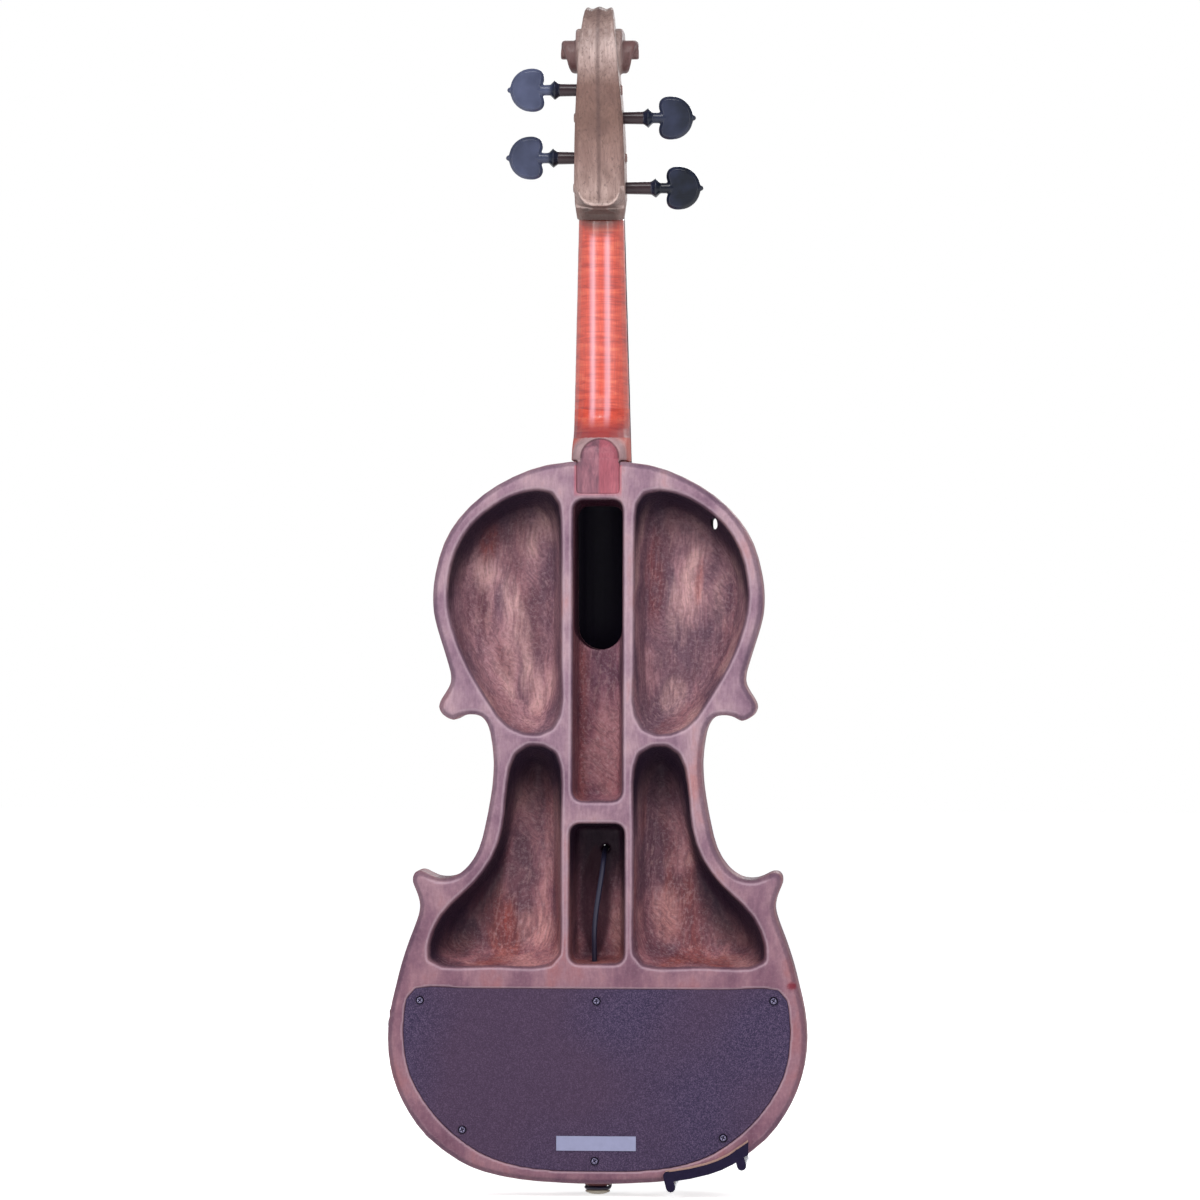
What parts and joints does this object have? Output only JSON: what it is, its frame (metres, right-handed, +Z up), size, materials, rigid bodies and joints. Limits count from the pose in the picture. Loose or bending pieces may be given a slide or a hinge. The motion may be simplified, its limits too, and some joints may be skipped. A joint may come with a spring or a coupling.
{
  "type": "electric violin",
  "caption": "Solid-body electric violin with a back carved into open pockets, pegbox and scroll, tuning pegs, chin rest, tailpiece with fine tuners and a screwed electronics cover.",
  "frame": {"origin": "middle of the crossbar between the centre channel and the cable pocket, in the flat back face", "axes": "+Z up to the scroll, +Y from the back to the front (strings), +X to the right seen from the back"},
  "size_m": [0.2071, 0.0971, 0.5855],
  "materials": {
    "carved_wood": "stained and oiled, figured",
    "neck_wood": "glossy orange varnish over flamed wood",
    "head_wood": "weathered, satin",
    "ebony": "polished black",
    "bridge_maple": "bare",
    "black_plastic": "gloss",
    "cover_plastic": "fine speckle",
    "steel": "bright",
    "dark_steel": "black",
    "bone": "cream",
    "cork": "cork lining",
    "circuit": "green board",
    "battery_case": "painted",
    "cord": "black"
  },
  "bodies": {
    "instrument": {"body": "carved_wood", "neck": "neck_wood", "scroll_and_pegbox": "head_wood", "fingerboard": "ebony", "nut": "ebony", "saddle": "ebony", "bridge": "bridge_maple", "bridge_pickup": "black_plastic", "pickup_cable": "cord", "tailpiece": "black_plastic", "tail_cord": "cord", "end_button": "bone", "string_g": "steel", "string_d": "steel", "string_a": "steel", "string_e": "steel", "chinrest": "black_plastic", "chinrest_cork": "cork", "clamp_upper": "steel", "control_cover": "cover_plastic", "cover_screw_1": "dark_steel", "cover_screw_2": "dark_steel", "cover_screw_3": "dark_steel", "cover_screw_4": "dark_steel", "cover_screw_5": "dark_steel", "cover_screw_6": "dark_steel", "label_plate": "steel", "preamp_board": "circuit", "battery": "battery_case", "output_jack": "steel", "jack_plate": "dark_steel", "volume_pot": "steel", "tone_pot": "steel"},
    "peg_g": {"peg_g": "ebony", "winding_g": "steel"},
    "peg_e": {"peg_e": "ebony", "winding_e": "steel"},
    "peg_d": {"peg_d": "ebony", "winding_d": "steel"},
    "peg_a": {"peg_a": "ebony", "winding_a": "steel"},
    "tuner_screw_g": {"tuner_shank_g": "steel"},
    "tuner_head_g": {"tuner_knob_g": "steel"},
    "tuner_lever_g": {"tuner_lever_g": "steel"},
    "tuner_screw_d": {"tuner_shank_d": "steel"},
    "tuner_head_d": {"tuner_knob_d": "steel"},
    "tuner_lever_d": {"tuner_lever_d": "steel"},
    "tuner_screw_a": {"tuner_shank_a": "steel"},
    "tuner_head_a": {"tuner_knob_a": "steel"},
    "tuner_lever_a": {"tuner_lever_a": "steel"},
    "tuner_screw_e": {"tuner_shank_e": "steel"},
    "tuner_head_e": {"tuner_knob_e": "steel"},
    "tuner_lever_e": {"tuner_lever_e": "steel"},
    "volume_knob": {"volume_knob": "black_plastic"},
    "tone_knob": {"tone_knob": "black_plastic"},
    "clamp_foot": {"clamp_foot": "dark_steel", "clamp_foot_cork": "cork"},
    "clamp_barrel_1": {"clamp_barrel_1": "steel"},
    "clamp_barrel_2": {"clamp_barrel_2": "steel"}
  },
  "joints": [
    {"name": "peg_g_turn", "type": "hinge", "parent": "instrument", "child": "peg_g", "pos_m": [0, 0.01777, 0.30787], "axis": [1, 0, 0], "continuous": true},
    {"name": "peg_e_turn", "type": "hinge", "parent": "instrument", "child": "peg_e", "pos_m": [0, 0.01467, 0.32252], "axis": [-1, 0, 0], "continuous": true},
    {"name": "peg_d_turn", "type": "hinge", "parent": "instrument", "child": "peg_d", "pos_m": [0, 0.00805, 0.34182], "axis": [1, 0, 0], "continuous": true},
    {"name": "peg_a_turn", "type": "hinge", "parent": "instrument", "child": "peg_a", "pos_m": [0, 0.00008, 0.35494], "axis": [-1, 0, 0], "continuous": true},
    {"name": "tuner_g_screw", "type": "slide", "parent": "instrument", "child": "tuner_screw_g", "axis": [0, -0.9871, 0.1599], "range_m": [0, 0.0028]},
    {"name": "tuner_g_turn", "type": "hinge", "parent": "tuner_screw_g", "child": "tuner_head_g", "pos_m": [0.0135, 0.05405, -0.10685], "axis": [0, -0.9871, 0.1599], "range_deg": [0, 1440]},
    {"name": "tuner_g_lever", "type": "hinge", "parent": "instrument", "child": "tuner_lever_g", "pos_m": [0.0135, 0.05814, -0.09535], "axis": [-1, 0, 0], "range_deg": [0, 14]},
    {"name": "tuner_d_screw", "type": "slide", "parent": "instrument", "child": "tuner_screw_d", "axis": [0, -0.9871, 0.1599], "range_m": [0, 0.0028]},
    {"name": "tuner_d_turn", "type": "hinge", "parent": "tuner_screw_d", "child": "tuner_head_d", "pos_m": [0.0045, 0.05405, -0.10685], "axis": [0, -0.9871, 0.1599], "range_deg": [0, 1440]},
    {"name": "tuner_d_lever", "type": "hinge", "parent": "instrument", "child": "tuner_lever_d", "pos_m": [0.0045, 0.05814, -0.09535], "axis": [-1, 0, 0], "range_deg": [0, 14]},
    {"name": "tuner_a_screw", "type": "slide", "parent": "instrument", "child": "tuner_screw_a", "axis": [0, -0.9871, 0.1599], "range_m": [0, 0.0028]},
    {"name": "tuner_a_turn", "type": "hinge", "parent": "tuner_screw_a", "child": "tuner_head_a", "pos_m": [-0.0045, 0.05405, -0.10685], "axis": [0, -0.9871, 0.1599], "range_deg": [0, 1440]},
    {"name": "tuner_a_lever", "type": "hinge", "parent": "instrument", "child": "tuner_lever_a", "pos_m": [-0.0045, 0.05814, -0.09535], "axis": [-1, 0, 0], "range_deg": [0, 14]},
    {"name": "tuner_e_screw", "type": "slide", "parent": "instrument", "child": "tuner_screw_e", "axis": [0, -0.9871, 0.1599], "range_m": [0, 0.0028]},
    {"name": "tuner_e_turn", "type": "hinge", "parent": "tuner_screw_e", "child": "tuner_head_e", "pos_m": [-0.0135, 0.05405, -0.10685], "axis": [0, -0.9871, 0.1599], "range_deg": [0, 1440]},
    {"name": "tuner_e_lever", "type": "hinge", "parent": "instrument", "child": "tuner_lever_e", "pos_m": [-0.0135, 0.05814, -0.09535], "axis": [-1, 0, 0], "range_deg": [0, 14]},
    {"name": "volume_turn", "type": "hinge", "parent": "instrument", "child": "volume_knob", "pos_m": [-0.05991, 0.043, -0.1104], "axis": [0, 1, 0], "range_deg": [-150, 150]},
    {"name": "tone_turn", "type": "hinge", "parent": "instrument", "child": "tone_knob", "pos_m": [-0.05991, 0.043, -0.13158], "axis": [0, 1, 0], "range_deg": [-150, 150]},
    {"name": "clamp_foot_slide", "type": "slide", "parent": "instrument", "child": "clamp_foot", "axis": [0, -1, 0], "range_m": [0, 0.003]},
    {"name": "clamp_barrel_1_turn", "type": "hinge", "parent": "instrument", "child": "clamp_barrel_1", "pos_m": [0.0369, 0.0175, -0.18418], "axis": [0, 1, 0], "range_deg": [0, 675]},
    {"name": "clamp_barrel_2_turn", "type": "hinge", "parent": "instrument", "child": "clamp_barrel_2", "pos_m": [0.0717, 0.0175, -0.17321], "axis": [0, 1, 0], "range_deg": [0, 675]}
  ],
  "couplings": [
    {"joint": "tuner_g_turn", "follows": "tuner_g_screw", "rad_per_m": 8976},
    {"joint": "tuner_g_lever", "follows": "tuner_g_screw", "rad_per_m": 84},
    {"joint": "tuner_d_turn", "follows": "tuner_d_screw", "rad_per_m": 8976},
    {"joint": "tuner_d_lever", "follows": "tuner_d_screw", "rad_per_m": 84},
    {"joint": "tuner_a_turn", "follows": "tuner_a_screw", "rad_per_m": 8976},
    {"joint": "tuner_a_lever", "follows": "tuner_a_screw", "rad_per_m": 84},
    {"joint": "tuner_e_turn", "follows": "tuner_e_screw", "rad_per_m": 8976},
    {"joint": "tuner_e_lever", "follows": "tuner_e_screw", "rad_per_m": 84},
    {"joint": "clamp_barrel_1_turn", "follows": "clamp_foot_slide", "rad_per_m": 3927},
    {"joint": "clamp_barrel_2_turn", "follows": "clamp_foot_slide", "rad_per_m": 3927}
  ]
}
